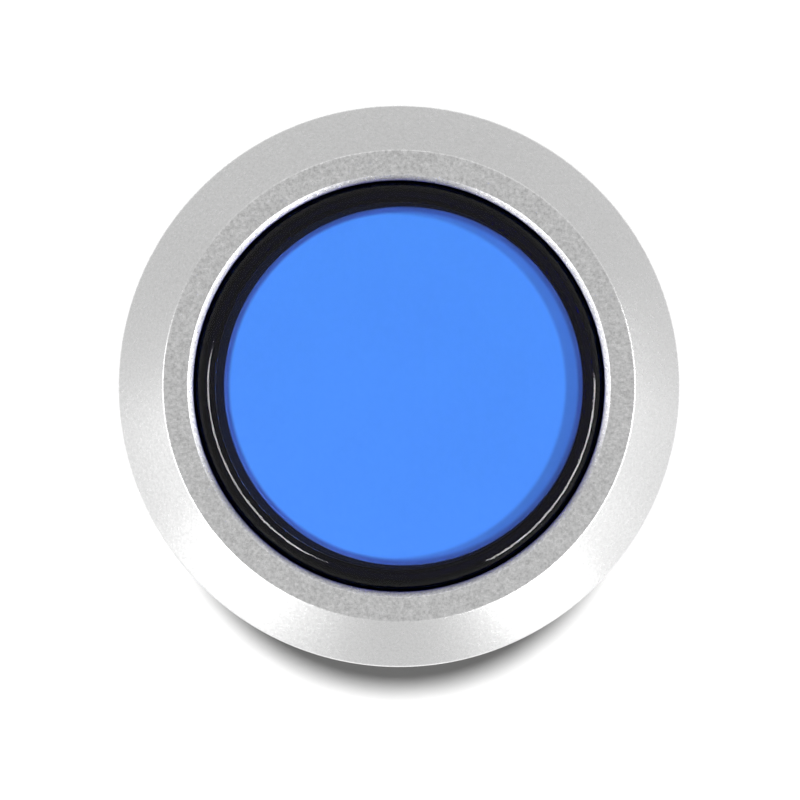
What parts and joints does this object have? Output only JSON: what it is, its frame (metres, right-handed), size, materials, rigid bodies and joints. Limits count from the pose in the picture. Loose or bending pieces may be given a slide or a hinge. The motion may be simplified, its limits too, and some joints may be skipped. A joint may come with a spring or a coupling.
{
  "type": "arcade button",
  "caption": "Round illuminated push button for a game control panel: satin metal bezel, blue clear plunger, screw barrel with ring nut, lamp and snap switch behind.",
  "frame": {"origin": "centre of the barrel in the plane of the flange's underside, which is the panel's front face", "axes": "+Z out of the panel towards the player, +Y up in the picture, +X right in the picture"},
  "size_m": [0.033, 0.033, 0.0569],
  "materials": {
    "satin_aluminium": "bead-blasted satin",
    "black_plastic": "moulded, fine grain",
    "blue_clear_plastic": "clear tinted, polished",
    "opal_plastic": "opal",
    "white_nylon": "moulded, satin",
    "clear_resin": "clear, polished",
    "spring_steel": "drawn wire",
    "tinned_brass": "tinned",
    "contact_silver": "polished",
    "resistor_ceramic": "lacquered"
  },
  "bodies": {
    "housing": {"bezel_ring": "satin_aluminium", "barrel_housing": "black_plastic", "return_spring": "spring_steel", "lamp_holder": "white_nylon", "lamp_base": "white_nylon", "led_lens": "clear_resin", "lamp_leads": "tinned_brass", "lamp_resistor": "resistor_ceramic", "lamp_terminal_left": "tinned_brass", "lamp_terminal_right": "tinned_brass", "switch_base": "black_plastic", "switch_cover": "black_plastic", "terminal_common": "tinned_brass", "terminal_normally_open": "tinned_brass", "terminal_normally_closed": "tinned_brass", "contact_normally_open": "contact_silver", "contact_normally_closed": "contact_silver", "snap_blade": "spring_steel"},
    "plunger": {"plunger_cap": "blue_clear_plastic", "diffuser_disc": "opal_plastic", "plunger_carrier": "black_plastic"},
    "lever": {"switch_lever": "spring_steel"},
    "pin": {"switch_button": "white_nylon"},
    "rivet": {"moving_contact": "contact_silver"},
    "nut": {"ring_nut": "black_plastic"}
  },
  "joints": [
    {"name": "plunger_press", "type": "slide", "parent": "housing", "child": "plunger", "axis": [0, 0, -1], "range_m": [0, 0.0024], "stiffness_N_per_m": 300, "springref_m": -0.004, "deforming": ["return_spring"]},
    {"name": "lever_swing", "type": "hinge", "parent": "housing", "child": "lever", "pos_m": [-0.0086, 0.0058, -0.036], "axis": [0, 1, 0], "range_deg": [0, 10.4]},
    {"name": "pin_press", "type": "slide", "parent": "housing", "child": "pin", "axis": [0, 0, -1], "range_m": [0, 0.00061], "deforming": ["snap_blade"]},
    {"name": "contact_throw", "type": "slide", "parent": "housing", "child": "rivet", "axis": [0, 0, -1], "range_m": [0, 0.0005]},
    {"name": "nut_travel", "type": "slide", "parent": "housing", "child": "nut", "axis": [0, 0, -1], "range_m": [-0.0082, 0.05]}
  ],
  "couplings": [
    {"joint": "lever_swing", "follows": "plunger_press", "rad_per_m": 75.345},
    {"joint": "pin_press", "follows": "plunger_press", "ratio": 0.254},
    {"joint": "contact_throw", "follows": "plunger_press", "ratio": 0.2083}
  ]
}
